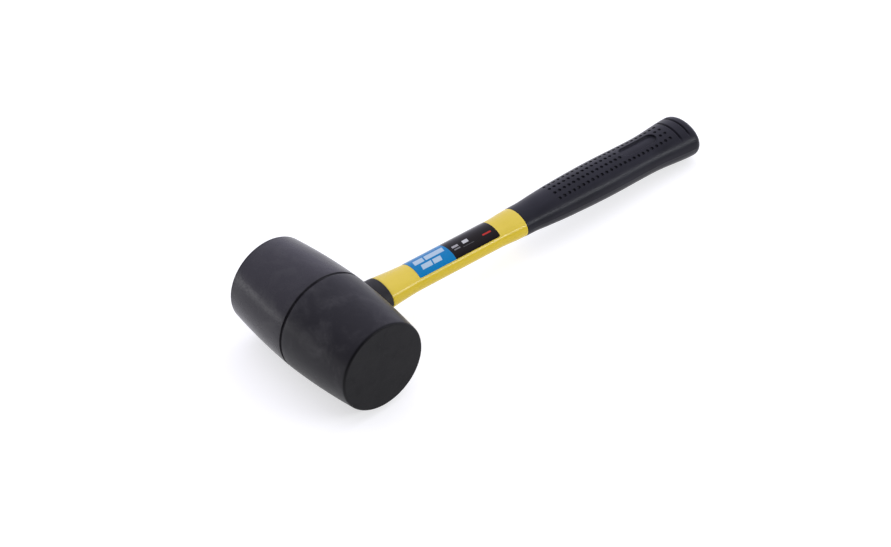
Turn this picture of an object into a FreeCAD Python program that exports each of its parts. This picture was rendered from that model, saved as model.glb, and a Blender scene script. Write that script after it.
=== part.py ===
import FreeCAD, Part
import math
import os

# Rubber mallet: a barrel-shaped rubber head on an oval, plastic-jacketed fibreglass
# handle with a moulded grip. Millimetres.
#
# The pieces are drawn in a tool frame whose X axis is the middle line of the handle:
#   +X towards the butt, Y along the head from face to face, +Z up, X = 0 at the
#   middle of the head, which sits a little higher than the handle (HEAD_RISE).
# At the end they are turned by REST_TILT about Y, so that the head and the butt both
# touch the ground, and shifted so that the origin is on the ground, under the middle
# of the whole tool.

# ------------------------------------------------------------------ driving sizes
HEAD_R = 34.6            # radius of the head at its middle
HEAD_HALF = 57.45        # half of the head's length, face to middle
HEAD_DROP = 4.18         # how much smaller the radius is at a face, before the rim
HEAD_LINEAR = 0.17       # share of the drop that is a straight taper
RIM_R = 1.5              # rounding between barrel and striking face
HEAD_RISE = 0.72         # middle of the head above the handle's middle line
SEAM_W = 2.1             # width of the parting groove round the middle
SEAM_D = 1.6             # its depth

EYE_END = -28.0          # bottom of the blind eye
EYE_A, EYE_B = 11.0, 7.8           # half width, half height of the eye

CORE_A, CORE_B = 8.2, 5.2          # fibreglass rod
CORE_X0, CORE_X1 = -26.0, 300.0

TANG_A, TANG_B = 10.0, 6.8         # jacket inside the head and the collar
BARB = 0.65                        # how far a barb stands out of the tang
BARB_XS = (-21.0, -12.0, -3.0, 6.0, 15.0)
BARB_L = 4.5

COLLAR_X1 = 44.7                   # outer end of the collar
COLLAR_A, COLLAR_B = 13.3, 9.4     # collar at its outer end
COLLAR_FLARE = 0.6                 # how much wider it is where it meets the head

SHAFT_A, SHAFT_B = 11.47, 8.10     # visible oval of the jacket, along the label
# the jacket swells towards the head and towards the grip: X, half width
SWELL_HEAD = ((44.7, 13.2), (48.0, 12.98), (52.0, 12.62), (56.0, 12.28), (60.0, 11.97), (64.0, 11.69), (67.0, 11.53), (69.0, 11.47))
SWELL_GRIP = ((136.8, 11.47), (139.0, 11.53), (143.0, 11.75), (148.0, 12.10), (153.0, 12.38), (157.6, 12.5))
GRIP_X0 = 157.6                    # where the grip begins
KEYED_A, KEYED_B = 10.3, 7.0       # jacket under the grip
KEY_D = 0.8                        # depth of the grooves that key the grip
KEY_XS = (175.0, 200.0, 225.0, 250.0, 275.0)
KEY_L = 5.0
JACKET_X1 = 302.0

LABEL_X0, LABEL_X1 = 69.3, 136.5   # printed film
LABEL_HALF_Y = 9.25                # it covers the top of the oval, this far each way
LABEL_T = 0.15

BUTT_X = 311.6                     # end of the tool
BUTT_R = 5.0                       # rounding of the butt's edge
# grip: station along X, half width, half height over half width
GRIP = (
    (157.6, 12.60, 0.712),
    (162.0, 12.62, 0.714),
    (166.0, 12.68, 0.716),
    (170.0, 12.90, 0.718),
    (175.0, 13.38, 0.722),
    (183.0, 13.97, 0.728),
    (192.5, 14.64, 0.734),
    (201.0, 15.01, 0.738),
    (210.0, 15.36, 0.740),
    (219.0, 15.65, 0.740),
    (228.0, 15.81, 0.740),
    (236.0, 15.84, 0.740),
    (245.0, 15.76, 0.740),
    (254.0, 15.59, 0.740),
    (262.5, 15.49, 0.740),
    (271.0, 15.47, 0.740),
    (280.0, 15.83, 0.740),
    (289.0, 16.62, 0.740),
    (298.0, 17.44, 0.740),
    (304.0, 17.80, 0.740),
    (311.6, 17.82, 0.740),
)

DIMPLE_X0, DIMPLE_DX, DIMPLE_N = 189.6, 4.17, 25
DIMPLE_ARCS = (-8.1, -2.7, 2.7, 8.1)   # rows, as distance round the surface from the top line
DIMPLE_BALL, DIMPLE_DEPTH = 1.25, 1.0
PANEL_X0, PANEL_X1, PANEL_HALF, PANEL_DEPTH = 251.0, 282.9, 4.9, 1.5
GROOVE_XS, GROOVE_W, GROOVE_D, GROOVE_HALF = (296.0, 303.6), 1.5, 1.1, 12.9

REST_TILT = 3.870        # degrees about Y
GROUND = 33.8817         # height of the handle's middle line above the ground, at X = 0
MID_X = 138.4504         # X of the whole tool's middle, after the turn

# ------------------------------------------------------------------ helpers
V = FreeCAD.Vector


def oval(x, a, b):
    """An ellipse wire in the plane X = x, a along Y and b along Z."""
    if a >= b:
        e = Part.Ellipse(V(x, a, 0), V(x, 0, b), V(x, 0, 0))
    else:
        e = Part.Ellipse(V(x, 0, b), V(x, -a, 0), V(x, 0, 0))
    return Part.Wire([e.toShape()])


def oval_bar(x0, x1, a, b):
    return Part.Face(oval(x0, a, b)).extrude(V(x1 - x0, 0, 0))


def oval_ring(x0, x1, a, b, a1, b1):
    return oval_bar(x0, x1, a1, b1).cut(oval_bar(x0, x1, a, b))


def loft(rows):
    return Part.makeLoft([oval(x, a, b) for x, a, b in rows], True, False)


def head_radius(y):
    u = abs(y) / HEAD_HALF
    return HEAD_R - HEAD_DROP * (HEAD_LINEAR * u + (1 - HEAD_LINEAR) * u * u)


def grip_at(x):
    """Half width and half height of the grip at X = x."""
    for (x0, a0, r0), (x1, a1, r1) in zip(GRIP, GRIP[1:]):
        if x <= x1:
            t = (x - x0) / (x1 - x0)
            a = a0 + (a1 - a0) * t
            return a, a * (r0 + (r1 - r0) * t)
    return GRIP[-1][1], GRIP[-1][1] * GRIP[-1][2]


def one_solid(shape, name):
    shape = shape.removeSplitter() if name != "grip_sleeve" else shape
    solids = shape.Solids
    if len(solids) != 1:
        raise RuntimeError("%s came out as %d solids" % (name, len(solids)))
    if not solids[0].isValid():
        raise RuntimeError(name + " is not valid")
    return solids[0]


# ------------------------------------------------------------------ head
def head_profile(groove):
    """Half profile of the head in the XY plane (X is the radius), as a closed face."""
    w, d = SEAM_W / 2, SEAM_D
    y_rim = HEAD_HALF
    r_end = head_radius(HEAD_HALF - RIM_R)
    start = w if groove else 0.0
    ys = [start + (HEAD_HALF - RIM_R - start) * i / 8.0 for i in range(9)]
    upper = [V(head_radius(y), y, 0) for y in ys]
    lower = [V(head_radius(y), -y, 0) for y in ys]
    c_up = Part.BSplineCurve()
    c_up.interpolate(upper)
    c_lo = Part.BSplineCurve()
    c_lo.interpolate(lower)
    # rim: an arc from the end of the barrel to the flat face
    k = math.sqrt(0.5)
    mid = V(r_end - RIM_R + RIM_R * k, y_rim - RIM_R + RIM_R * k, 0)
    face = V(r_end - RIM_R, y_rim, 0)
    edges = [
        Part.LineSegment(V(0, y_rim, 0), face).toShape(),
        Part.Arc(face, mid, upper[-1]).toShape(),
        c_up.toShape(),
    ]
    if groove:
        r0 = head_radius(w)
        edges += [
            Part.Arc(upper[0], V(r0 - d, 0, 0), lower[0]).toShape(),
        ]
    mid2 = V(mid.x, -mid.y, 0)
    face2 = V(face.x, -face.y, 0)
    edges += [
        c_lo.toShape(),
        Part.Arc(lower[-1], mid2, face2).toShape(),
        Part.LineSegment(face2, V(0, -y_rim, 0)).toShape(),
        Part.LineSegment(V(0, -y_rim, 0), V(0, y_rim, 0)).toShape(),
    ]
    return Part.Face(Part.Wire(Part.__sortEdges__(edges)))


head_blank = head_profile(True).revolve(V(0, 0, 0), V(0, 1, 0), 360)
head_plain = head_profile(False).revolve(V(0, 0, 0), V(0, 1, 0), 360)
head_blank.translate(V(0, 0, HEAD_RISE))
head_plain.translate(V(0, 0, HEAD_RISE))
eye = oval_bar(EYE_END, 60.0, EYE_A, EYE_B)
rubber_head = head_blank.cut(eye)

# ------------------------------------------------------------------ handle core and jacket
fibreglass_core = oval_bar(CORE_X0, CORE_X1, CORE_A, CORE_B)

tang = oval_bar(CORE_X0, COLLAR_X1 + 1.0, TANG_A, TANG_B)
barbs = []
for x in BARB_XS:
    # each barb rises slowly from the tip side and drops square on the other
    barbs.append(
        Part.makeLoft(
            [oval(x, TANG_A, TANG_B), oval(x + BARB_L, TANG_A + BARB, TANG_B + BARB)],
            True,
            True,
        )
    )
shape_ratio = SHAFT_B / SHAFT_A
shaft = oval_bar(SWELL_HEAD[-1][0], SWELL_GRIP[0][0], SHAFT_A, SHAFT_B)
shaft = shaft.fuse(
    [
        loft([(x, a, a * shape_ratio) for x, a in SWELL_HEAD]),
        loft([(x, a, a * shape_ratio) for x, a in SWELL_GRIP]),
    ]
)
keyed = oval_bar(GRIP_X0 - 1.0, JACKET_X1, KEYED_A, KEYED_B)
jacket = shaft.fuse([tang, keyed] + barbs)
keys = [
    oval_ring(x, x + KEY_L, KEYED_A - KEY_D, KEYED_B - KEY_D, KEYED_A + 2, KEYED_B + 2)
    for x in KEY_XS
]
jacket = jacket.cut(Part.makeCompound(keys))
jacket_outside = jacket
shaft_jacket = jacket.cut(fibreglass_core)

# ------------------------------------------------------------------ adhesive in the eye
epoxy_bond = oval_bar(EYE_END, 60.0, EYE_A, EYE_B).common(head_plain)
epoxy_bond = epoxy_bond.cut(jacket_outside).cut(fibreglass_core)

# ------------------------------------------------------------------ collar
rows = []
for i in range(7):
    t = i / 6.0
    x = 27.0 + (COLLAR_X1 - 27.0) * t
    s = max(0.0, (COLLAR_X1 - x) / (COLLAR_X1 - 34.0))
    flare = COLLAR_FLARE * min(s, 1.6) ** 2
    rows.append((x, COLLAR_A + flare, COLLAR_B + flare))
neck_collar = loft(rows).cut(head_plain).cut(jacket_outside)
neck_collar = neck_collar.cut(eye.common(head_plain))

# ------------------------------------------------------------------ label
band = oval_ring(
    LABEL_X0, LABEL_X1, SHAFT_A, SHAFT_B, SHAFT_A + LABEL_T, SHAFT_B + LABEL_T
)
z_edge = SHAFT_B * math.sqrt(1 - (LABEL_HALF_Y / SHAFT_A) ** 2)
keep = Part.makeBox(
    LABEL_X1 - LABEL_X0, 2 * LABEL_HALF_Y, 20, V(LABEL_X0, -LABEL_HALF_Y, z_edge - 2.0)
)
label = band.common(keep)

# ------------------------------------------------------------------ grip
outer = loft([(x, a, a * r) for x, a, r in GRIP])
end_edges = [
    e for e in outer.Edges if abs(e.BoundBox.XMin - BUTT_X) < 0.01 and abs(e.BoundBox.XMax - BUTT_X) < 0.01
]
outer = outer.makeFillet(BUTT_R, end_edges)
start_edges = [
    e for e in outer.Edges if abs(e.BoundBox.XMin - GRIP_X0) < 0.01 and abs(e.BoundBox.XMax - GRIP_X0) < 0.01
]
outer = outer.makeFillet(0.3, start_edges)


def sunk(depth):
    """The grip's own shape, smaller all round by depth: the floor of a recess."""
    return loft([(x, a - depth, a * r - depth) for x, a, r in GRIP])


def stadium(x0, x1, half, z0, z1):
    c0, c1 = x0 + half, x1 - half
    wire = Part.Wire(
        [
            Part.LineSegment(V(c0, -half, z0), V(c1, -half, z0)).toShape(),
            Part.Arc(V(c1, -half, z0), V(x1, 0, z0), V(c1, half, z0)).toShape(),
            Part.LineSegment(V(c1, half, z0), V(c0, half, z0)).toShape(),
            Part.Arc(V(c0, half, z0), V(x0, 0, z0), V(c0, -half, z0)).toShape(),
        ]
    )
    return Part.Face(wire).extrude(V(0, 0, z1 - z0))


panel_floor = sunk(PANEL_DEPTH)
groove_floor = sunk(GROOVE_D)
tools = []
for side in (1, -1):
    tools.append(
        stadium(PANEL_X0, PANEL_X1, PANEL_HALF, 2 * side, 20 * side).cut(panel_floor)
    )
    for gx in GROOVE_XS:
        box = Part.makeBox(
            GROOVE_W,
            2 * GROOVE_HALF,
            20,
            V(gx - GROOVE_W / 2, -GROOVE_HALF, 0 if side > 0 else -20),
        )
        tools.append(box.cut(groove_floor))

grip = outer
for tool in tools:
    grip = grip.cut(tool)

balls = []
for side in (1, -1):
    for arc in DIMPLE_ARCS:
        for i in range(DIMPLE_N):
            x = DIMPLE_X0 + DIMPLE_DX * i
            if abs(arc) < PANEL_HALF and PANEL_X0 - 2.4 < x < PANEL_X1 + 2.0:
                continue
            a, b = grip_at(x)
            # walk round the oval from its top until the distance is reached
            p, length, n = 0.0, 0.0, 400
            y0, z0 = 0.0, b
            while length < abs(arc):
                p += 1.4 / n
                y1, z1 = a * math.sin(p), b * math.cos(p)
                length += math.hypot(y1 - y0, z1 - z0)
                y0, z0 = y1, z1
            ny, nz = y0 / a**2, z0 / b**2
            m = math.hypot(ny, nz)
            out = DIMPLE_BALL - DIMPLE_DEPTH
            y = (y0 + ny / m * out) * (1 if arc > 0 else -1)
            z = (z0 + nz / m * out) * side
            axis = V(0, ny / m * (1 if arc > 0 else -1), nz / m * side)
            balls.append(Part.makeSphere(DIMPLE_BALL, V(x, y, z), axis))
grip = grip.cut(Part.makeCompound(balls))
grip_sleeve = grip.cut(jacket_outside).cut(fibreglass_core)

# ------------------------------------------------------------------ place and write
nodes = {
    "rubber_head": rubber_head,
    "neck_collar": neck_collar,
    "epoxy_bond": epoxy_bond,
    "fibreglass_core": fibreglass_core,
    "shaft_jacket": shaft_jacket,
    "label": label,
    "grip_sleeve": grip_sleeve,
}
os.makedirs("parts", exist_ok=True)
for name, shape in nodes.items():
    solid = one_solid(shape, name)
    solid.rotate(V(0, 0, 0), V(0, 1, 0), REST_TILT)
    solid.translate(V(-MID_X, 0, GROUND))
    solid.exportStep("parts/%s.step" % name)
    print(name, "volume cm3", round(solid.Volume / 1000, 2), "faces", len(solid.Faces))
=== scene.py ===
import math

import bpy
import numpy as np
from mathutils import Matrix, Quaternion, Vector


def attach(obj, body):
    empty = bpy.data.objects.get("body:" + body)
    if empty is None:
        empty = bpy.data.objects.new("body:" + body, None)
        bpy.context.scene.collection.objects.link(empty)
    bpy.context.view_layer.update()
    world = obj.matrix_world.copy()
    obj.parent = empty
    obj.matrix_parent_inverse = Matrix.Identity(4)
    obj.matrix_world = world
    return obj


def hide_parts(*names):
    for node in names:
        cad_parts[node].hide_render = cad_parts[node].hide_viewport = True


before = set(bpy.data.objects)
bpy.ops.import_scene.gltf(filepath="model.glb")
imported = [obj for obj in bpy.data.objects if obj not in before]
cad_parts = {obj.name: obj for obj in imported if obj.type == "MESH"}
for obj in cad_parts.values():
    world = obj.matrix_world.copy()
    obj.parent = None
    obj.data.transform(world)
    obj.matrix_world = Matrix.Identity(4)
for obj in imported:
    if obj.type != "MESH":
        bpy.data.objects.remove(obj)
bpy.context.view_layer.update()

# ---------------------------------------------------------------- tool frame
# Pieces are worked out in the tool frame, in millimetres: +X along the middle line of
# the handle, Y along the head, +Z up. place() turns them into the row frame, in
# metres, where the mallet lies on its head and its butt.
TILT = math.radians(3.870)
SHIFT = (-0.1384504, 0.0, 0.0338817)
CT, ST = math.cos(TILT), math.sin(TILT)


def place(p):
    p = np.asarray(p, float).reshape(-1, 3)
    out = np.empty_like(p)
    out[:, 0] = (p[:, 0] * CT + p[:, 2] * ST) * 0.001 + SHIFT[0]
    out[:, 1] = p[:, 1] * 0.001 + SHIFT[1]
    out[:, 2] = (-p[:, 0] * ST + p[:, 2] * CT) * 0.001 + SHIFT[2]
    return out


HEAD_R, HEAD_HALF, HEAD_DROP, HEAD_LINEAR, RIM_R, HEAD_RISE = 34.6, 57.45, 4.18, 0.17, 1.5, 0.72
SEAM_W, SEAM_D = 2.1, 1.6
EYE_END, EYE_A, EYE_B = -28.0, 11.0, 7.8
CORE_A, CORE_B = 8.2, 5.2
TANG_A, TANG_B, BARB, BARB_L = 10.0, 6.8, 0.65, 4.5
BARB_XS = (-21.0, -12.0, -3.0, 6.0, 15.0)
COLLAR_X1, COLLAR_A, COLLAR_B, COLLAR_FLARE = 44.7, 13.3, 9.4, 0.6
SHAFT_A, SHAFT_B = 11.47, 8.10
SWELL_HEAD = ((44.7, 13.2), (48.0, 12.98), (52.0, 12.62), (56.0, 12.28), (60.0, 11.97), (64.0, 11.69), (67.0, 11.53), (69.0, 11.47))
SWELL_GRIP = ((136.8, 11.47), (139.0, 11.53), (143.0, 11.75), (148.0, 12.10), (153.0, 12.38), (157.6, 12.5))
KEYED_A, KEYED_B, KEY_D, KEY_L = 10.3, 7.0, 0.8, 5.0
KEY_XS = (175.0, 200.0, 225.0, 250.0, 275.0)
JACKET_X0, JACKET_X1 = -26.0, 302.0
LABEL_X0, LABEL_X1, LABEL_HALF_Y, LABEL_T = 69.3, 136.5, 9.25, 0.15
GRIP_X0, BUTT_X, BUTT_R = 157.6, 311.6, 5.0
GRIP = np.array(
    [
        (157.6, 12.60, 0.712),
        (162.0, 12.62, 0.714),
        (166.0, 12.68, 0.716),
        (170.0, 12.90, 0.718),
        (175.0, 13.38, 0.722),
        (183.0, 13.97, 0.728),
        (192.5, 14.64, 0.734),
        (201.0, 15.01, 0.738),
        (210.0, 15.36, 0.740),
        (219.0, 15.65, 0.740),
        (228.0, 15.81, 0.740),
        (236.0, 15.84, 0.740),
        (245.0, 15.76, 0.740),
        (254.0, 15.59, 0.740),
        (262.5, 15.49, 0.740),
        (271.0, 15.47, 0.740),
        (280.0, 15.83, 0.740),
        (289.0, 16.62, 0.740),
        (298.0, 17.44, 0.740),
        (304.0, 17.80, 0.740),
        (311.6, 17.82, 0.740),
    ]
)
DIMPLE_X0, DIMPLE_DX, DIMPLE_N, DIMPLE_PITCH = 189.6, 4.17, 25, 5.4
PANEL_X0, PANEL_X1, PANEL_HALF, PANEL_DEPTH = 251.0, 282.9, 4.9, 1.5
GROOVE_XS, GROOVE_W, GROOVE_D, GROOVE_HALF = (296.0, 303.6), 1.5, 1.1, 12.9


# ---------------------------------------------------------------- mesh helpers
class Build:
    """Collects points and faces of one piece."""

    def __init__(self):
        self.points, self.faces = [], []

    def add(self, p):
        self.points.append((float(p[0]), float(p[1]), float(p[2])))
        return len(self.points) - 1

    def ring(self, pts):
        return [self.add(p) for p in pts]

    def join(self, r0, r1, flip=False):
        """Quads between two closed rings of equal length."""
        n = len(r0)
        for i in range(n):
            j = (i + 1) % n
            f = (r0[i], r0[j], r1[j], r1[i])
            self.faces.append(f[::-1] if flip else f)

    def fan(self, ring, centre, flip=False):
        c = self.add(centre)
        n = len(ring)
        for i in range(n):
            f = (ring[i], ring[(i + 1) % n], c)
            self.faces.append(f[::-1] if flip else f)


def piece(name, build, material, node, sharp=None):
    mesh = bpy.data.meshes.new(name)
    mesh.from_pydata(place(build.points).tolist(), [], build.faces)
    mesh.validate()
    mesh.update()
    mesh.shade_smooth()
    if sharp is not None:
        mesh.set_sharp_from_angle(angle=math.radians(sharp))
    mesh.materials.append(material)
    ob = bpy.data.objects.new(name, mesh)
    bpy.context.scene.collection.objects.link(ob)
    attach(ob, "root")
    if node:
        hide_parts(node)
    return ob


def spline(xs, ys):
    """Natural cubic spline through the points, as a function."""
    xs, ys = np.asarray(xs, float), np.asarray(ys, float)
    n = len(xs)
    h = np.diff(xs)
    m = np.zeros((n, n))
    r = np.zeros(n)
    m[0, 0] = m[-1, -1] = 1.0
    for i in range(1, n - 1):
        m[i, i - 1], m[i, i], m[i, i + 1] = h[i - 1], 2 * (h[i - 1] + h[i]), h[i]
        r[i] = 6 * ((ys[i + 1] - ys[i]) / h[i] - (ys[i] - ys[i - 1]) / h[i - 1])
    k = np.linalg.solve(m, r)

    def f(x):
        x = np.clip(np.asarray(x, float), xs[0], xs[-1])
        i = np.clip(np.searchsorted(xs, x) - 1, 0, n - 2)
        t0, t1, hh = x - xs[i], xs[i + 1] - x, h[i]
        return (
            (k[i] * t1**3 + k[i + 1] * t0**3) / (6 * hh)
            + (ys[i] / hh - k[i] * hh / 6) * t1
            + (ys[i + 1] / hh - k[i + 1] * hh / 6) * t0
        )

    return f


def smooth(t):
    t = np.clip(t, 0.0, 1.0)
    return t * t * (3 - 2 * t)


def oval_points(x, a, b, n):
    """n points round the oval, from the top towards +Y. x may be an array."""
    p = np.arange(n) * 2 * math.pi / n
    out = np.empty((n, 3))
    out[:, 0] = x
    out[:, 1] = a * np.sin(p)
    out[:, 2] = b * np.cos(p)
    return out


# ---------------------------------------------------------------- materials
def material(name):
    mat = bpy.data.materials.new(name)
    mat.use_nodes = True
    nt = mat.node_tree
    nt.nodes.clear()
    out = nt.nodes.new("ShaderNodeOutputMaterial")
    bsdf = nt.nodes.new("ShaderNodeBsdfPrincipled")
    nt.links.new(bsdf.outputs["BSDF"], out.inputs["Surface"])
    return mat, nt, bsdf


def tool_mm(nt):
    """Coordinates in the tool frame, in millimetres."""
    tc = nt.nodes.new("ShaderNodeTexCoord")
    mp = nt.nodes.new("ShaderNodeMapping")
    mp.vector_type = "TEXTURE"
    mp.inputs["Location"].default_value = SHIFT
    mp.inputs["Rotation"].default_value = (0.0, TILT, 0.0)
    mp.inputs["Scale"].default_value = (0.001, 0.001, 0.001)
    nt.links.new(tc.outputs["Object"], mp.inputs["Vector"])
    return mp.outputs["Vector"]


def scaled(nt, vec, scale, offset=(0, 0, 0)):
    mp = nt.nodes.new("ShaderNodeMapping")
    mp.inputs["Location"].default_value = offset
    mp.inputs["Scale"].default_value = scale
    nt.links.new(vec, mp.inputs["Vector"])
    return mp.outputs["Vector"]


def noise(nt, vec, scale, detail=4.0, rough=0.55, distortion=0.0):
    n = nt.nodes.new("ShaderNodeTexNoise")
    n.inputs["Scale"].default_value = scale
    n.inputs["Detail"].default_value = detail
    n.inputs["Roughness"].default_value = rough
    n.inputs["Distortion"].default_value = distortion
    nt.links.new(vec, n.inputs["Vector"])
    return n.outputs["Fac"]


def voronoi(nt, vec, scale, feature="F1", out="Distance"):
    n = nt.nodes.new("ShaderNodeTexVoronoi")
    n.feature = feature
    n.inputs["Scale"].default_value = scale
    nt.links.new(vec, n.inputs["Vector"])
    return n.outputs[out]


def ramp(nt, fac, stops):
    n = nt.nodes.new("ShaderNodeValToRGB")
    el = n.color_ramp.elements
    el[0].position, el[1].position = stops[0][0], stops[-1][0]
    for pos, _ in stops[1:-1]:
        el.new(pos)
    for e, (_, c) in zip(sorted(el, key=lambda e: e.position), stops):
        e.color = (*c, 1.0) if len(c) == 3 else c
    nt.links.new(fac, n.inputs["Fac"])
    return n.outputs["Color"]


def remap(nt, val, a, b, c, d, clamp=True, smooth_=False):
    n = nt.nodes.new("ShaderNodeMapRange")
    n.clamp = clamp
    if smooth_:
        n.interpolation_type = "SMOOTHSTEP"
    for k, v in zip(("From Min", "From Max", "To Min", "To Max"), (a, b, c, d)):
        n.inputs[k].default_value = v
    nt.links.new(val, n.inputs["Value"])
    return n.outputs["Result"]


def math_(nt, op, a, b=None, c=None):
    n = nt.nodes.new("ShaderNodeMath")
    n.operation = op
    for i, v in enumerate((a, b, c)):
        if v is None:
            continue
        if isinstance(v, (int, float)):
            n.inputs[i].default_value = v
        else:
            nt.links.new(v, n.inputs[i])
    return n.outputs[0]


def mix(nt, fac, a, b, blend="MIX"):
    n = nt.nodes.new("ShaderNodeMix")
    n.data_type = "RGBA"
    n.blend_type = blend
    n.clamp_factor = True
    for sock, v in ((n.inputs[0], fac), (n.inputs[6], a), (n.inputs[7], b)):
        if isinstance(v, (int, float)):
            sock.default_value = v
        elif isinstance(v, tuple):
            sock.default_value = (*v, 1.0) if len(v) == 3 else v
        else:
            nt.links.new(v, sock)
    return n.outputs[2]


def bump(nt, height, strength, distance, normal=None):
    n = nt.nodes.new("ShaderNodeBump")
    n.inputs["Strength"].default_value = strength
    n.inputs["Distance"].default_value = distance
    nt.links.new(height, n.inputs["Height"])
    if normal is not None:
        nt.links.new(normal, n.inputs["Normal"])
    return n.outputs["Normal"]


def xyz(nt, vec):
    n = nt.nodes.new("ShaderNodeSeparateXYZ")
    nt.links.new(vec, n.inputs[0])
    return n.outputs[0], n.outputs[1], n.outputs[2]


# --- rubber of the head: satin black, with a faint cloudy grey bloom, fine scuffs, and painted light and shade across its two halves
def head_material():
    mat, nt, s = material("head_rubber")
    p = tool_mm(nt)
    cloud = noise(nt, p, 0.055, 6, 0.62, 0.5)
    cloud2 = noise(nt, scaled(nt, p, (1, 0.55, 1), (31, 7, 3)), 0.11, 6, 0.62, 0.4)
    fine = noise(nt, p, 1.7, 3, 0.6)
    grain = noise(nt, p, 6.0, 2, 0.6)
    patches = math_(nt, "MULTIPLY", remap(nt, cloud, 0.42, 0.68, 0, 1, smooth_=True), remap(nt, cloud2, 0.38, 0.66, 0.15, 1))
    _, y, z = xyz(nt, p)
    barrel = remap(nt, math_(nt, "ABSOLUTE", y), HEAD_HALF - 2.6, HEAD_HALF - 0.9, 1, 0, smooth_=True)
    base = ramp(nt, fine, [(0.30, (0.0030, 0.0028, 0.0040)), (0.72, (0.0050, 0.0047, 0.0064))])
    # the far half is lighter, partly from its real bloom and partly painted light; the near half gets painted shade
    # low down
    far_bloom_and_painted_light = remap(nt, y, -6.0, 8.0, 0.36, 1.0, smooth_=True)
    # painted shade: on the near half the colour darkens towards the bottom
    low = remap(nt, z, -22.0, 8.0, 0.10, 1.0, smooth_=True)
    near_low_painted_shade = math_(nt, "MAXIMUM", low, remap(nt, y, -2.0, 6.0, 0, 1, smooth_=True))
    bloom_and_painted_shade = math_(nt, "MULTIPLY", math_(nt, "MULTIPLY", barrel, far_bloom_and_painted_light), near_low_painted_shade)
    base = mix(nt, remap(nt, barrel, 0, 1, 0.6, 0.0), base, (0.0012, 0.0010, 0.0016))
    # mixes towards lighter grey: real bloom with painted light on the far half, painted shade low on the near half
    base = mix(nt, bloom_and_painted_shade, base, (0.0275, 0.0258, 0.0305))
    bloom = mix(nt, math_(nt, "MULTIPLY", math_(nt, "MULTIPLY", patches, barrel), 0.75), base, (0.047, 0.0455, 0.0475))
    # thin scuffs along the barrel
    sc = noise(nt, scaled(nt, p, (0.9, 0.05, 0.9), (5, 11, 2)), 1.3, 3, 0.5)
    scuff = remap(nt, sc, 0.66, 0.74, 0, 0.35)
    col = mix(nt, math_(nt, "MULTIPLY", scuff, patches), bloom, (0.080, 0.078, 0.082))
    nt.links.new(col, s.inputs["Base Color"])
    r = remap(nt, math_(nt, "MULTIPLY_ADD", patches, 0.55, cloud2), 0.25, 1.2, 0.27, 0.40)
    r = math_(nt, "ADD", r, remap(nt, far_bloom_and_painted_light, 0.36, 1.0, 0.08, -0.04))
    r = math_(nt, "ADD", r, remap(nt, barrel, 0, 1, 0.10, 0.0))
    r2 = math_(nt, "MULTIPLY_ADD", remap(nt, fine, 0.3, 0.7, -1, 1), 0.025, r)
    nt.links.new(r2, s.inputs["Roughness"])
    s.inputs["IOR"].default_value = 1.5
    s.inputs["Specular IOR Level"].default_value = 0.165
    n1 = bump(nt, cloud2, 0.12, 0.0012)
    n2 = bump(nt, fine, 0.16, 0.00010, n1)
    n3 = bump(nt, grain, 0.22, 0.00005, n2)
    nt.links.new(n3, s.inputs["Normal"])
    return mat


def collar_material():
    mat, nt, s = material("collar_rubber")
    p = tool_mm(nt)
    fine = noise(nt, p, 1.4, 4, 0.6)
    big = noise(nt, p, 0.2, 4, 0.6)
    col = ramp(nt, big, [(0.35, (0.009, 0.0085, 0.0085)), (0.7, (0.015, 0.0142, 0.014))])
    nt.links.new(col, s.inputs["Base Color"])
    nt.links.new(remap(nt, fine, 0.3, 0.7, 0.52, 0.66), s.inputs["Roughness"])
    s.inputs["Specular IOR Level"].default_value = 0.25
    nt.links.new(bump(nt, fine, 0.3, 0.00012), s.inputs["Normal"])
    return mat


def grip_material():
    mat, nt, s = material("grip_rubber")
    p = tool_mm(nt)
    big = noise(nt, scaled(nt, p, (0.4, 1, 1)), 0.09, 4, 0.6, 0.3)
    fine = noise(nt, p, 2.6, 3, 0.6)
    pore = voronoi(nt, p, 3.4)
    col = ramp(nt, big, [(0.32, (0.0082, 0.0080, 0.0118)), (0.70, (0.0132, 0.0130, 0.0185))])
    nt.links.new(col, s.inputs["Base Color"])
    r = remap(nt, big, 0.3, 0.7, 0.33, 0.40)
    r = math_(nt, "MULTIPLY_ADD", remap(nt, fine, 0.3, 0.7, -1, 1), 0.03, r)
    nt.links.new(r, s.inputs["Roughness"])
    s.inputs["Specular IOR Level"].default_value = 0.155
    n1 = bump(nt, fine, 0.22, 0.00008)
    n2 = bump(nt, pore, 0.15, 0.00006, n1)
    nt.links.new(n2, s.inputs["Normal"])
    return mat


def jacket_material():
    mat, nt, s = material("jacket_plastic")
    p = tool_mm(nt)
    flow = noise(nt, scaled(nt, p, (0.35, 1, 1)), 0.22, 4, 0.6, 0.5)
    fine = noise(nt, p, 1.1, 3, 0.6)
    col = ramp(nt, flow, [(0.30, (0.607, 0.463, 0.051)), (0.52, (0.620, 0.474, 0.056)), (0.74, (0.631, 0.484, 0.061))])
    _, _, z = xyz(nt, p)
    # painted shade: below the top face the sides are mixed towards a deeper, darker yellow
    col = mix(nt, remap(nt, z, 5.2, 2.4, 0, 0.8, smooth_=True), col, (0.570, 0.420, 0.022))
    col = mix(nt, remap(nt, fine, 0.55, 0.75, 0, 0.10), col, (0.52, 0.385, 0.040))
    nt.links.new(col, s.inputs["Base Color"])
    nt.links.new(remap(nt, flow, 0.3, 0.7, 0.19, 0.22), s.inputs["Roughness"])
    s.inputs["Specular IOR Level"].default_value = 0.20
    s.inputs["Coat Weight"].default_value = 0.03
    s.inputs["Coat Roughness"].default_value = 0.20
    n1 = bump(nt, flow, 0.04, 0.0003)
    n2 = bump(nt, fine, 0.06, 0.00008, n1)
    nt.links.new(n2, s.inputs["Normal"])
    return mat


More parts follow.
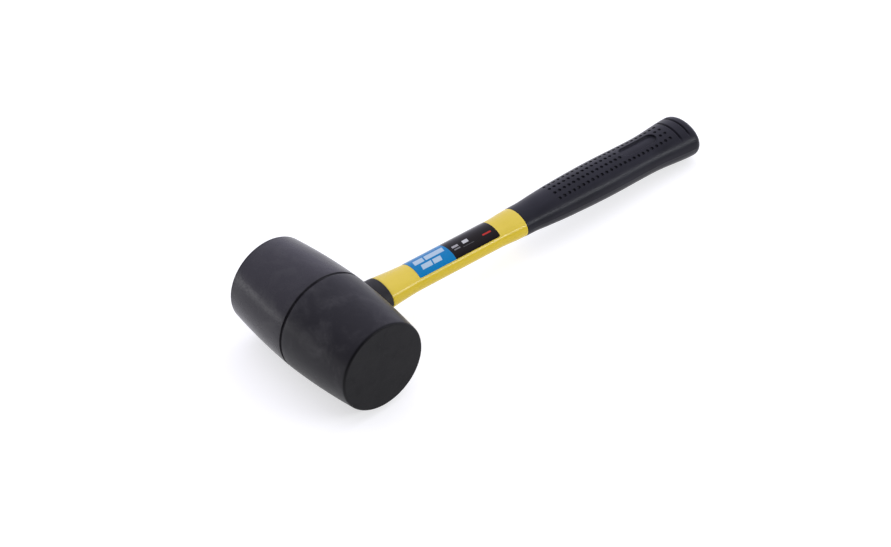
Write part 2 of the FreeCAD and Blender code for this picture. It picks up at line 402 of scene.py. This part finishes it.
def box_mask(nt, x, y, x0, x1, y0, y1, soft=0.12, slant=0.0):
    """1 inside the rectangle, 0 outside, with a soft edge; slant leans it along X."""
    if slant:
        x = math_(nt, "MULTIPLY_ADD", y, -slant, x)
    a = remap(nt, x, x0 - soft, x0 + soft, 0, 1)
    b = remap(nt, x, x1 - soft, x1 + soft, 1, 0)
    c = remap(nt, y, y0 - soft, y0 + soft, 0, 1)
    d = remap(nt, y, y1 - soft, y1 + soft, 1, 0)
    return math_(nt, "MULTIPLY", math_(nt, "MULTIPLY", a, b), math_(nt, "MULTIPLY", c, d))


def label_material():
    mat, nt, s = material("label_film")
    p = tool_mm(nt)
    x, y, _ = xyz(nt, p)
    ink = noise(nt, p, 2.2, 3, 0.6)
    blue = ramp(nt, ink, [(0.3, (0.0000, 0.148, 0.350)), (0.7, (0.0000, 0.170, 0.390))])
    black = ramp(nt, ink, [(0.3, (0.0042, 0.0024, 0.0018)), (0.7, (0.0066, 0.0046, 0.0036))])
    col = mix(nt, remap(nt, x, 99.15, 99.35, 0, 1), blue, black)
    white = (0.70, 0.76, 0.72)
    # plain bars where the maker's print would be
    for x0, x1, y0, y1 in (
        (72.4, 80.2, -0.6, 3.6),
        (81.4, 96.6, -0.6, 3.6),
        (76.0, 84.2, -5.9, -2.3),
        (85.3, 91.9, -5.9, -2.3),
    ):
        col = mix(nt, math_(nt, "MULTIPLY", box_mask(nt, x, y, x0, x1, y0, y1, slant=0.25), 0.50), col, white)
    for x0, x1, y0, y1, c in (
        (102.2, 107.2, -2.4, -0.6, (0.30, 0.29, 0.29)),
        (102.8, 107.6, -4.4, -3.4, (0.16, 0.155, 0.155)),
        (110.9, 115.4, -2.9, -0.2, (0.46, 0.46, 0.45)),
        (109.6, 118.6, -5.0, -4.75, (0.10, 0.10, 0.10)),
        (126.4, 133.4, -4.4, -3.2, (0.40, 0.020, 0.015)),
    ):
        col = mix(nt, box_mask(nt, x, y, x0, x1, y0, y1, slant=0.15), col, c)
    nt.links.new(col, s.inputs["Base Color"])
    nt.links.new(remap(nt, ink, 0.3, 0.7, 0.07, 0.11), s.inputs["Roughness"])
    s.inputs["Specular IOR Level"].default_value = 0.13
    s.inputs["Sheen Weight"].default_value = 0.22
    s.inputs["Sheen Roughness"].default_value = 0.30
    s.inputs["Coat Weight"].default_value = 0.0
    s.inputs["Coat Roughness"].default_value = 0.10
    wave = noise(nt, scaled(nt, p, (0.25, 1, 1)), 0.25, 3, 0.5)
    nt.links.new(bump(nt, wave, 0.12, 0.0003), s.inputs["Normal"])
    return mat


def core_material():
    mat, nt, s = material("fibreglass_rod")
    p = tool_mm(nt)
    strands = noise(nt, scaled(nt, p, (0.02, 1, 1)), 2.4, 4, 0.65)
    col = ramp(nt, strands, [(0.3, (0.60, 0.50, 0.30)), (0.55, (0.78, 0.71, 0.50)), (0.8, (0.86, 0.82, 0.66))])
    nt.links.new(col, s.inputs["Base Color"])
    nt.links.new(remap(nt, strands, 0.3, 0.7, 0.32, 0.5), s.inputs["Roughness"])
    nt.links.new(bump(nt, strands, 0.3, 0.0002), s.inputs["Normal"])
    return mat


def epoxy_material():
    mat, nt, s = material("cured_epoxy")
    p = tool_mm(nt)
    b = voronoi(nt, p, 0.9)
    n = noise(nt, p, 0.5, 3, 0.6)
    col = ramp(nt, n, [(0.3, (0.55, 0.42, 0.17)), (0.7, (0.70, 0.58, 0.30))])
    nt.links.new(col, s.inputs["Base Color"])
    nt.links.new(remap(nt, n, 0.3, 0.7, 0.15, 0.3), s.inputs["Roughness"])
    nt.links.new(bump(nt, b, 0.2, 0.0002), s.inputs["Normal"])
    return mat


MAT_HEAD = head_material()
MAT_COLLAR = collar_material()
MAT_GRIP = grip_material()
MAT_JACKET = jacket_material()
MAT_LABEL = label_material()
MAT_CORE = core_material()
MAT_EPOXY = epoxy_material()


# ---------------------------------------------------------------- head
def head_radius(y):
    u = np.abs(y) / HEAD_HALF
    return HEAD_R - HEAD_DROP * (HEAD_LINEAR * u + (1 - HEAD_LINEAR) * u * u)


def head_half_profile():
    """(radius, |y|) from the middle of a striking face to the bottom of the seam."""
    r_end = float(head_radius(HEAD_HALF - RIM_R))
    pts = [(r, HEAD_HALF) for r in (2, 5, 9, 13, 17, 21, 24.5, 27, 28.4, r_end - RIM_R - 0.25)]
    for i in range(13):
        t = math.pi / 2 * i / 12
        pts.append((r_end - RIM_R + RIM_R * math.sin(t), HEAD_HALF - RIM_R + RIM_R * math.cos(t)))
    lip = 0.22
    y0 = SEAM_W / 2 + lip
    y1 = HEAD_HALF - RIM_R
    n = 30
    for i in range(1, n + 1):
        y = y1 + (y0 - y1) * (i / n)
        if i == 1:
            pts.append((float(head_radius(y1 - 0.5)), y1 - 0.5))
        pts.append((float(head_radius(y)), y))
    # rounded lip of the seam, then its bottom
    r0 = float(head_radius(SEAM_W / 2))
    for t in (0.25, 0.5, 0.75, 1.0):
        ang = t * math.radians(70)
        pts.append((r0 + 0.006 - lip * (1 - math.cos(ang)), y0 - lip * math.sin(ang) * 1.05))
    ya, ra = pts[-1][1], pts[-1][0]
    for t in (0.2, 0.4, 0.6, 0.8):
        pts.append((ra - (SEAM_D - (HEAD_R - ra)) * math.sin(t * math.pi / 2), ya * math.cos(t * math.pi / 2)))
    return pts


def build_head():
    b = Build()
    half = head_half_profile()
    prof = [(r, y) for r, y in half] + [(HEAD_R - SEAM_D, 0.0)] + [(r, -y) for r, y in reversed(half)]
    n = 272
    ang = np.arange(n) * 2 * math.pi / n
    rings = []
    for r, y in prof:
        rings.append(b.ring(np.stack([r * np.sin(ang), np.full(n, y), HEAD_RISE + r * np.cos(ang)], 1)))
    for r0, r1 in zip(rings, rings[1:]):
        b.join(r0, r1)
    b.fan(rings[0], (0, HEAD_HALF, HEAD_RISE), flip=True)
    b.fan(rings[-1], (0, -HEAD_HALF, HEAD_RISE))
    return b


def cut_with(ob, cutter_build):
    """Takes a closed shape out of a piece."""
    mesh = bpy.data.meshes.new("cutter")
    mesh.from_pydata(place(cutter_build.points).tolist(), [], cutter_build.faces)
    mesh.update()
    cutter = bpy.data.objects.new("cutter", mesh)
    bpy.context.scene.collection.objects.link(cutter)
    mod = ob.modifiers.new("cut", "BOOLEAN")
    mod.operation = "DIFFERENCE"
    mod.solver = "EXACT"
    mod.object = cutter
    bpy.context.view_layer.update()
    dg = bpy.context.evaluated_depsgraph_get()
    new = bpy.data.meshes.new_from_object(ob.evaluated_get(dg), depsgraph=dg)
    ob.modifiers.clear()
    old = ob.data
    ob.data = new
    new.name = old.name + "_cut"
    bpy.data.objects.remove(cutter)


def oval_bar(x0, x1, a, b_, n=96):
    b = Build()
    r0 = b.ring(oval_points(x0, a, b_, n))
    r1 = b.ring(oval_points(x1, a, b_, n))
    b.join(r0, r1, flip=True)
    b.faces.append(tuple(r0))
    b.faces.append(tuple(reversed(r1)))
    return b


head = piece("rubber_head_shell", build_head(), MAT_HEAD, "rubber_head")
cut_with(head, oval_bar(EYE_END, 60.0, EYE_A, EYE_B))
head.data.shade_smooth()
head.data.set_sharp_from_angle(angle=math.radians(50))


# ---------------------------------------------------------------- collar
def on_head(y, z):
    """X of the head's surface over (y, z), on the handle's side."""
    return np.sqrt(np.maximum(head_radius(y) ** 2 - (z - HEAD_RISE) ** 2, 0.0))


def build_collar():
    b = Build()
    n = 160
    edge = 0.45

    def size(x):
        s = np.maximum(0.0, (COLLAR_X1 - x) / (COLLAR_X1 - 34.0))
        f = COLLAR_FLARE * np.minimum(s, 1.6) ** 2
        return COLLAR_A + f, COLLAR_B + f

    p = np.arange(n) * 2 * math.pi / n
    sy, cz = np.sin(p), np.cos(p)
    # where the outside meets the head
    x = np.full(n, 34.0)
    for _ in range(40):
        a, c = size(x)
        x = 0.5 * x + 0.5 * (on_head(a * sy, c * cz) - 0.05)
    start = x
    rings = []
    for t in np.linspace(0, 1, 26):
        xx = start + (COLLAR_X1 - edge - start) * t
        a, c = size(xx)
        rings.append(b.ring(np.stack([xx, a * sy, c * cz], 1)))
    for i in range(1, 7):
        t = math.pi / 2 * i / 6
        xx = COLLAR_X1 - edge + edge * math.sin(t)
        d = edge * (1 - math.cos(t))
        a, c = size(np.full(n, xx))
        rings.append(b.ring(np.stack([np.full(n, xx), (a - d) * sy, (c - d) * cz], 1)))
    rings.append(b.ring(oval_points(COLLAR_X1, TANG_A, TANG_B, n)))
    inner = on_head(TANG_A * sy, TANG_B * cz) - 0.05
    for t in np.linspace(0, 1, 7)[1:]:
        xx = COLLAR_X1 + (inner - COLLAR_X1) * t
        rings.append(b.ring(np.stack([xx, TANG_A * sy, TANG_B * cz], 1)))
    a0, c0 = size(start)
    for t in (0.33, 0.66):
        y = (TANG_A * (1 - t) + a0 * t) * sy
        z = (TANG_B * (1 - t) + c0 * t) * cz
        rings.append(b.ring(np.stack([on_head(y, z) - 0.05, y, z], 1)))
    for r0, r1 in zip(rings, rings[1:] + rings[:1]):
        b.join(r0, r1, flip=True)
    return b


collar = piece("neck_collar_ring", build_collar(), MAT_COLLAR, "neck_collar", sharp=50)


# ---------------------------------------------------------------- jacket
def build_jacket():
    """The yellow jacket, from its barbed end in the eye to its keyed end in the grip."""
    b = Build()
    n = 200
    rows = [(JACKET_X0, TANG_A, TANG_B)]
    for x in BARB_XS:
        rows += [(x, TANG_A, TANG_B), (x + BARB_L, TANG_A + BARB, TANG_B + BARB), (x + BARB_L + 0.02, TANG_A, TANG_B)]
    swell_head = spline(*zip(*SWELL_HEAD))
    swell_grip = spline(*zip(*SWELL_GRIP))
    ratio = SHAFT_B / SHAFT_A

    def visible(x, less=0.0):
        if x < SWELL_HEAD[-1][0]:
            a = float(swell_head(x))
        elif x > SWELL_GRIP[0][0]:
            a = float(swell_grip(x))
        else:
            a = SHAFT_A
        return (x, a - less, a * ratio - less)

    rows += [(COLLAR_X1 - 0.02, TANG_A, TANG_B), visible(COLLAR_X1, 0.25)]
    rows += [visible(COLLAR_X1 + 0.1, 0.08), visible(COLLAR_X1 + 0.3)]
    for i in range(1, 80):
        rows.append(visible(COLLAR_X1 + 0.3 + (GRIP_X0 - 0.1 - COLLAR_X1 - 0.3) * i / 80))
    rows += [visible(GRIP_X0 - 0.1), visible(GRIP_X0), (GRIP_X0 + 0.02, KEYED_A, KEYED_B)]
    for x in KEY_XS:
        rows += [
            (x, KEYED_A, KEYED_B),
            (x + 0.02, KEYED_A - KEY_D, KEYED_B - KEY_D),
            (x + KEY_L, KEYED_A - KEY_D, KEYED_B - KEY_D),
            (x + KEY_L + 0.02, KEYED_A, KEYED_B),
        ]
    rows += [(JACKET_X1, KEYED_A, KEYED_B)]
    rings = [b.ring(oval_points(x, a, c, n)) for x, a, c in rows]
    for r0, r1 in zip(rings, rings[1:]):
        b.join(r0, r1, flip=True)
    # bore for the rod, closed just past its end
    i0 = b.ring(oval_points(JACKET_X0, CORE_A, CORE_B, n))
    i1 = b.ring(oval_points(300.0, CORE_A, CORE_B, n))
    b.join(rings[0], i0)
    b.join(i0, i1)
    b.faces.append(tuple(i1))
    b.faces.append(tuple(reversed(rings[-1])))
    return b


jacket = piece("shaft_jacket_sleeve", build_jacket(), MAT_JACKET, "shaft_jacket", sharp=40)


# ---------------------------------------------------------------- label
def build_label():
    b = Build()
    nx, ns = 84, 56
    p_edge = math.asin(LABEL_HALF_Y / SHAFT_A)
    r = 1.1  # rounded corners
    grids = []
    for h in (0.002, LABEL_T):
        g = np.zeros((nx + 1, ns + 1), int)
        for j in range(ns + 1):
            p = -p_edge + 2 * p_edge * j / ns
            ny, nz = math.sin(p) / SHAFT_A, math.cos(p) / SHAFT_B
            m = math.hypot(ny, nz)
            y, z = SHAFT_A * math.sin(p) + ny / m * h, SHAFT_B * math.cos(p) + nz / m * h
            d = LABEL_HALF_Y - abs(SHAFT_A * math.sin(p))
            d *= 1.15
            inset = r - math.sqrt(max(0.0, r * r - (r - d) ** 2)) if d < r else 0.0
            for i in range(nx + 1):
                x = LABEL_X0 + inset + (LABEL_X1 - LABEL_X0 - 2 * inset) * i / nx
                g[i, j] = b.add((x, y, z))
        grids.append(g)
    lo, hi = grids
    for i in range(nx):
        for j in range(ns):
            b.faces.append((hi[i, j], hi[i + 1, j], hi[i + 1, j + 1], hi[i, j + 1]))
            b.faces.append((lo[i, j], lo[i, j + 1], lo[i + 1, j + 1], lo[i + 1, j]))
    for i in range(nx):
        b.faces.append((lo[i, 0], lo[i + 1, 0], hi[i + 1, 0], hi[i, 0]))
        b.faces.append((hi[i, ns], hi[i + 1, ns], lo[i + 1, ns], lo[i, ns]))
    for j in range(ns):
        b.faces.append((hi[0, j], hi[0, j + 1], lo[0, j + 1], lo[0, j]))
        b.faces.append((lo[nx, j], lo[nx, j + 1], hi[nx, j + 1], hi[nx, j]))
    return b


label = piece("label_film_print", build_label(), MAT_LABEL, "label", sharp=50)

# ---------------------------------------------------------------- grip
A_OF = spline(GRIP[:, 0], GRIP[:, 1])
R_OF = spline(GRIP[:, 0], GRIP[:, 2])
P_TAB = np.linspace(0, math.pi / 2, 241)


def section(x):
    a = float(A_OF(x))
    return a, a * float(R_OF(x))


def arc_table(a, c):
    d = np.sqrt((a * np.cos(P_TAB)) ** 2 + (c * np.sin(P_TAB)) ** 2)
    return np.concatenate([[0], np.cumsum((d[1:] + d[:-1]) / 2 * np.diff(P_TAB))])


def on_grip(x, s, side, h):
    """Point on the grip at X = x, s millimetres round the surface from its top line
    (side 1) or bottom line (side -1), raised by h along the normal. s > 0 is +Y."""
    a, c = section(x)
    tab = arc_table(a, c)
    p = float(np.interp(abs(s), tab, P_TAB))
    y, z = a * math.sin(p), c * math.cos(p)
    ny, nz = y / a**2, z / c**2
    m = math.hypot(ny, nz)
    y, z = y + ny / m * h, z + nz / m * h
    # tilt of the normal along X is small and is left out
    return (x, math.copysign(y, s) if s else 0.0, z * side)


def groove_depth(x, y):
    """How deep the two cross grooves are at this place, tapering out at their ends."""
    d = 0.0
    for gx in GROOVE_XS:
        t = abs(x - gx) / (GROOVE_W / 2)
        if t < 1.35:
            prof = 1.0 - float(smooth((t - 0.45) / 0.9))
            end = 1.0 - float(smooth((abs(y) - (GROOVE_HALF - 2.6)) / 3.2))
            d = max(d, GROOVE_D * prof * end)
    return d


def build_grip():
    b = Build()
    cell_x0 = DIMPLE_X0 - DIMPLE_DX / 2
    sub = 6
    # rows along X
    xs = []
    edge = 0.3
    for i in range(6):
        t = math.pi / 2 * i / 5
        xs.append((GRIP_X0 + edge * (1 - math.cos(t)), edge * (1 - math.sin(t))))
    n0 = 30
    x_a = GRIP_X0 + edge
    xs += [(x_a + (cell_x0 - x_a) * i / n0, 0.0) for i in range(1, n0)]
    row_cell0 = len(xs)
    xs += [(cell_x0 + DIMPLE_DX / sub * i, 0.0) for i in range(DIMPLE_N * sub + 1)]
    x_b = cell_x0 + DIMPLE_N * DIMPLE_DX
    tail = []
    for gx in GROOVE_XS:
        tail += [gx + o for o in (-1.3, -1.05, -0.85, -0.7, -0.55, -0.4, -0.25, -0.1, 0.1, 0.25, 0.4, 0.55, 0.7, 0.85, 1.05, 1.3)]
    tail += list(np.linspace(x_b, GROOVE_XS[0] - 1.3, 6)[1:-1])
    tail += list(np.linspace(GROOVE_XS[0] + 1.3, GROOVE_XS[1] - 1.3, 7)[1:-1])
    x_c = BUTT_X - BUTT_R
    tail += list(np.linspace(GROOVE_XS[1] + 1.3, x_c, 5)[1:])
    xs += [(x, 0.0) for x in sorted(tail)]
    for i in range(1, 11):
        t = math.pi / 2 * i / 10
        xs.append((x_c + BUTT_R * math.sin(t), BUTT_R * (1 - math.cos(t))))

    # columns round the section: (kind, value)
    top = [DIMPLE_PITCH * 2 * k / (2 * sub) for k in range(2 * sub + 1)]  # 0 .. 10.8
    side_f = [i / 20 for i in range(1, 20)]
    cols = [("top", s) for s in top]
    near = [0.0, 0.25, 0.5, 0.68, 0.84]
    # between the top field and the parting line, then on to the bottom field
    fr = [1, 2, 3, 4, 5, 6, 7, 8, 9]
    cols += [("up", k / 10.0) for k in fr]
    cols += [("line", -0.42), ("line", -0.22), ("line", -0.10), ("line", 0.10), ("line", 0.22), ("line", 0.42)]
    cols += [("down", 1 - k / 10.0) for k in reversed(fr)]
    cols += [("bottom", s) for s in reversed(top)]
    half = len(cols)
    full = [(k, v, 1) for k, v in cols] + [(k, v, -1) for k, v in reversed(cols[1:-1])]
    ncol = len(full)

    def column_point(x, shrink, kind, v, sgn):
        a, c = section(x)
        a, c = a - shrink, c - shrink
        tab = arc_table(a, c)
        q = tab[-1]
        field = top[-1]
        h = 0.0
        if kind == "top":
            s, side = v, 1
        elif kind == "up":
            s, side = field + (q - 0.6 - field) * v, 1
        elif kind == "down":
            s, side = field + (q - 0.6 - field) * (1 - v), -1
        elif kind == "line":
            s, side = (q + v, 1) if v < 0 else (q - v, -1)
            h = 0.09 if abs(v) < 0.15 else (0.05 if abs(v) < 0.3 else 0.0)
            h *= float(smooth((x - GRIP_X0 - 2) / 4)) * float(smooth((x_c - x) / 3))
        else:
            s, side = v, -1
        p = float(np.interp(s, tab, P_TAB))
        y, z = a * math.sin(p), c * math.cos(p)
        ny, nz = y / a**2, z / c**2
        m = math.hypot(ny, nz)
        if kind in ("top", "bottom", "up", "down") and shrink == 0.0:
            h -= groove_depth(x, y)
        y, z = y + ny / m * h, z + nz / m * h
        return (x, y * sgn, z * side)

    grid = []
    for x, shrink in xs:
        grid.append(b.ring([column_point(x, shrink, k, v, s) for k, v, s in full]))

    # column index of s = signed value, on top and bottom fields
    def col(side, k):
        """k counts sixths of a cell from the centre line, positive towards +Y."""
        if side > 0:
            return k % ncol
        return (half - 1 - k) % ncol

    skip = set()
    # panel fields: cells 15 .. 22 along, the two middle rows
    c_first = int(round((PANEL_X0 - cell_x0) / DIMPLE_DX - 0.2))
    c_last = c_first + 8
    jobs = []
    for side in (1, -1):
        for row in range(4):
            k0 = (row - 2) * sub
            for c in range(DIMPLE_N):
                if row in (1, 2) and c_first <= c < c_last:
                    continue
                jobs.append((side, row_cell0 + c * sub, k0, sub, sub, None))
        jobs.append((side, row_cell0 + c_first * sub, -sub, 8 * sub, 2 * sub, "panel"))
    for side, i0, k0, ni, nk, what in jobs:
        for i in range(i0, i0 + ni):
            for k in range(k0, k0 + nk):
                skip.add((i, min(col(side, k), col(side, k + 1)) if abs(col(side, k) - col(side, k + 1)) == 1 else max(col(side, k), col(side, k + 1))))

    for i in range(len(grid) - 1):
        r0, r1 = grid[i], grid[i + 1]
        for j in range(ncol):
            if (i, j) in skip:
                continue
            k = (j + 1) % ncol
            b.faces.append((r0[j], r1[j], r1[k], r0[k]))

    def quad_strip(o, n_, flip):
        m = len(o)
        for q in range(m):
            w = (q + 1) % m
            f = (o[q], o[w], n_[w], n_[q])
            b.faces.append(f[::-1] if flip else f)

    for side, i0, k0, ni, nk, what in jobs:
        flip = side > 0
        loop = [(i, k0) for i in range(i0, i0 + ni)]
        loop += [(i0 + ni, k) for k in range(k0, k0 + nk)]
        loop += [(i, k0 + nk) for i in range(i0 + ni, i0, -1)]
        loop += [(i0, k) for k in range(k0 + nk, k0, -1)]
        outer = [grid[i][col(side, k)] for i, k in loop]
        pos = [(xs[i][0], DIMPLE_PITCH * k / sub) for i, k in loop]
        if what is None:
            xc = sum(p[0] for p in pos) / len(pos)
            sc = DIMPLE_PITCH * (k0 / sub + 0.5)
            m = len(pos)
            # the loop starts at a corner, which is at 225 degrees
            ang = [math.radians(225 + 360.0 * q / m) for q in range(m)]
            prev = outer
            for r, h in (
                (1.62, 0.0),
                (1.37, 0.0),
                (1.275, -0.015),
                (1.215, -0.09),
                (1.18, -0.45),
                (1.10, -0.80),
                (0.88, -1.08),
                (0.50, -1.22),
            ):
                ringp = [b.add(on_grip(xc + r * math.cos(t), sc + r * math.sin(t), side, h)) for t in ang]
                quad_strip(prev, ringp, flip)
                prev = ringp
            c_ = b.add(on_grip(xc, sc, side, -1.25))
            for q in range(m):
                f = (prev[q], prev[(q + 1) % m], c_)
                b.faces.append(f[::-1] if flip else f)
        else:
            c0, c1 = PANEL_X0 + PANEL_HALF, PANEL_X1 - PANEL_HALF
            med = [(min(max(x, c0), c1), 0.0) for x, s in pos]
            dirs = []
            for (x, s), (mx, ms) in zip(pos, med):
                l = math.hypot(x - mx, s - ms)
                dirs.append(((x - mx) / l, (s - ms) / l))
            prev = outer
            d_ = PANEL_DEPTH
            for r, h in (
                (PANEL_HALF + 0.22, 0.0),
                (PANEL_HALF + 0.08, -0.012),
                (PANEL_HALF, -0.06),
                (PANEL_HALF - 0.05, -0.16),
                (PANEL_HALF - 0.09, -0.60),
                (PANEL_HALF - 0.13, -d_ + 0.28),
                (PANEL_HALF - 0.22, -d_ + 0.10),
                (PANEL_HALF - 0.40, -d_ + 0.015),
                (PANEL_HALF - 0.80, -d_),
                (PANEL_HALF - 1.8, -d_),
                (PANEL_HALF - 3.0, -d_),
                (PANEL_HALF - 4.2, -d_),
            ):
                ringp = [b.add(on_grip(mx + r * dx, ms + r * ds, side, h)) for (mx, ms), (dx, ds) in zip(med, dirs)]
                quad_strip(prev, ringp, flip)
                prev = ringp
            # close the middle: pairs across the long axis, and one face at each end
            n_side = ni
            low = prev[: n_side + 1]
            high = [prev[(2 * n_side + nk - q) % len(prev)] for q in range(n_side + 1)]
            inside = [q for q in range(n_side + 1) if c0 + 1e-6 < pos[q][0] < c1 - 1e-6]
            for q in inside[:-1]:
                f = (low[q], low[q + 1], high[q + 1], high[q])
                b.faces.append(f[::-1] if flip else f)
            a_, z_ = inside[0], inside[-1]
            tot = len(prev)
            end_hi = [prev[q % tot] for q in range(z_, 2 * n_side + nk - z_ + 1)]
            b.faces.append(tuple(end_hi[::-1] if flip else end_hi))
            start = [prev[q % tot] for q in range(2 * n_side + nk - a_, tot + a_ + 1)]
            b.faces.append(tuple(start[::-1] if flip else start))

    # butt end
    last = grid[-1]
    prev = last
    a, c = section(BUTT_X)
    a, c = a - BUTT_R, c - BUTT_R
    ring_pts = [b.points[i] for i in last]
    for f_ in (0.94, 0.8, 0.6, 0.4, 0.2):
        nxt = b.ring([(BUTT_X, p[1] * f_, p[2] * f_) for p in ring_pts])
        b.join(prev, nxt, flip=True)
        prev = nxt
    b.fan(prev, (BUTT_X, 0, 0), flip=True)

    # inside, with the ribs that key it to the jacket
    rows = [(GRIP_X0, KEYED_A, KEYED_B)]
    for x in KEY_XS:
        rows += [
            (x, KEYED_A, KEYED_B),
            (x + 0.02, KEYED_A - KEY_D, KEYED_B - KEY_D),
            (x + KEY_L, KEYED_A - KEY_D, KEYED_B - KEY_D),
            (x + KEY_L + 0.02, KEYED_A, KEYED_B),
        ]
    rows += [(JACKET_X1, KEYED_A, KEYED_B)]
    phases = [math.atan2(b.points[i][1] / float(A_OF(GRIP_X0)), b.points[i][2] / (float(A_OF(GRIP_X0)) * float(R_OF(GRIP_X0)))) for i in grid[0]]
    rings = []
    for x, a, c in rows:
        rings.append(b.ring([(x, a * math.sin(t), c * math.cos(t)) for t in phases]))
    b.join(rings[0], grid[0], flip=True)
    for r0, r1 in zip(rings, rings[1:]):
        b.join(r1, r0, flip=True)
    b.faces.append(tuple(rings[-1]))
    return b


grip = piece("grip_sleeve_moulded", build_grip(), MAT_GRIP, "grip_sleeve", sharp=60)

# ---------------------------------------------------------------- carried-over nodes
for node, mat in (("fibreglass_core", MAT_CORE), ("epoxy_bond", MAT_EPOXY)):
    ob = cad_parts[node]
    ob.data.materials.clear()
    ob.data.materials.append(mat)

# ---------------------------------------------------------------- stage, lights, camera
scene = bpy.context.scene
scene.view_settings.view_transform = "Standard"
scene.view_settings.look = "None"

floor_mesh = bpy.data.meshes.new("floor")
F = 6.0
floor_mesh.from_pydata([(-F, -F, 0), (F, -F, 0), (F, F, 0), (-F, F, 0)], [], [(0, 1, 2, 3)])
floor_mesh.update()
floor = bpy.data.objects.new("floor", floor_mesh)
floor.location.z = -0.0002
scene.collection.objects.link(floor)
fm, fnt, fs = material("floor_pale")
fs.inputs["Base Color"].default_value = (0.50, 0.50, 0.50, 1)
fs.inputs["Roughness"].default_value = 0.9
fs.inputs["Specular IOR Level"].default_value = 0.1
fs.inputs["Emission Color"].default_value = (1, 1, 1, 1)
fs.inputs["Emission Strength"].default_value = 0.62
floor_mesh.materials.append(fm)

world = bpy.data.worlds.new("studio")
scene.world = world
world.use_nodes = True
wn = world.node_tree
bg = wn.nodes["Background"]
# a bright backdrop behind and above, falling off towards the front of the studio
tc = wn.nodes.new("ShaderNodeTexCoord")
dot = wn.nodes.new("ShaderNodeVectorMath")
dot.operation = "DOT_PRODUCT"
dot.inputs[1].default_value = Vector((0.50, 0.72, 0.48)).normalized()
wn.links.new(tc.outputs["Generated"], dot.inputs[0])
fall = remap(wn, dot.outputs["Value"], -0.33, 0.80, 0.0, 1.0, smooth_=True)
wcol = mix(wn, fall, (0.05, 0.05, 0.06), (1.18, 1.16, 1.42))
wn.links.new(wcol, bg.inputs["Color"])
bg.inputs["Strength"].default_value = 1.0


def soft_box(name, direction, distance, size, power, color=(1, 1, 1), target=(0, 0, 0.03), glossy=True, roll=0.0):
    d = Vector(direction).normalized()
    light = bpy.data.lights.new(name, "AREA")
    light.shape = "RECTANGLE"
    light.size, light.size_y = size
    light.energy = power
    light.color = color
    ob = bpy.data.objects.new(name, light)
    scene.collection.objects.link(ob)
    ob.location = Vector(target) + d * distance
    ob.rotation_mode = "QUATERNION"
    ob.rotation_quaternion = Quaternion(d, math.radians(roll)) @ d.to_track_quat("Z", "Y")
    ob.visible_glossy = glossy
    ob.visible_camera = False
    return ob


soft_box("overhead", (0.05, 0.1, 1.0), 2.2, (4.0, 4.0), 24, glossy=False)
soft_box("front_fill", (-0.1, -1.0, 0.42), 2.0, (1.8, 1.4), 3, glossy=False)
soft_box("front_strip", (0.47, -0.755, 0.415), 1.3, (1.1, 0.13), 8.5, (0.93, 0.96, 1.0), roll=-21)
soft_box("side_strip", (-0.70, 0.71, 0.05), 1.3, (1.2, 0.10), 2.6, target=(-0.138, 0.0, 0.035))

cam_data = bpy.data.cameras.new("camera")
cam = bpy.data.objects.new("camera", cam_data)
scene.collection.objects.link(cam)
cam_data.sensor_width = 36.0
cam_data.lens = 99.8667
right = Vector((0.7602519807153401, -0.64691242, -0.059340026995080404))
up = Vector((0.45644277066893973, 0.46693866, 0.7573825238277717))
back = right.cross(up)
m = Matrix((right, up, back)).transposed().to_4x4()
m.translation = Vector((-0.7752765946, -0.9567911799, 1.0479570346))
cam.matrix_world = m
cam_data.clip_start, cam_data.clip_end = 0.1, 20.0
# the picture's principal point is its middle in this view
cam_data.shift_x = 0.0
cam_data.shift_y = 0.0
scene.camera = cam
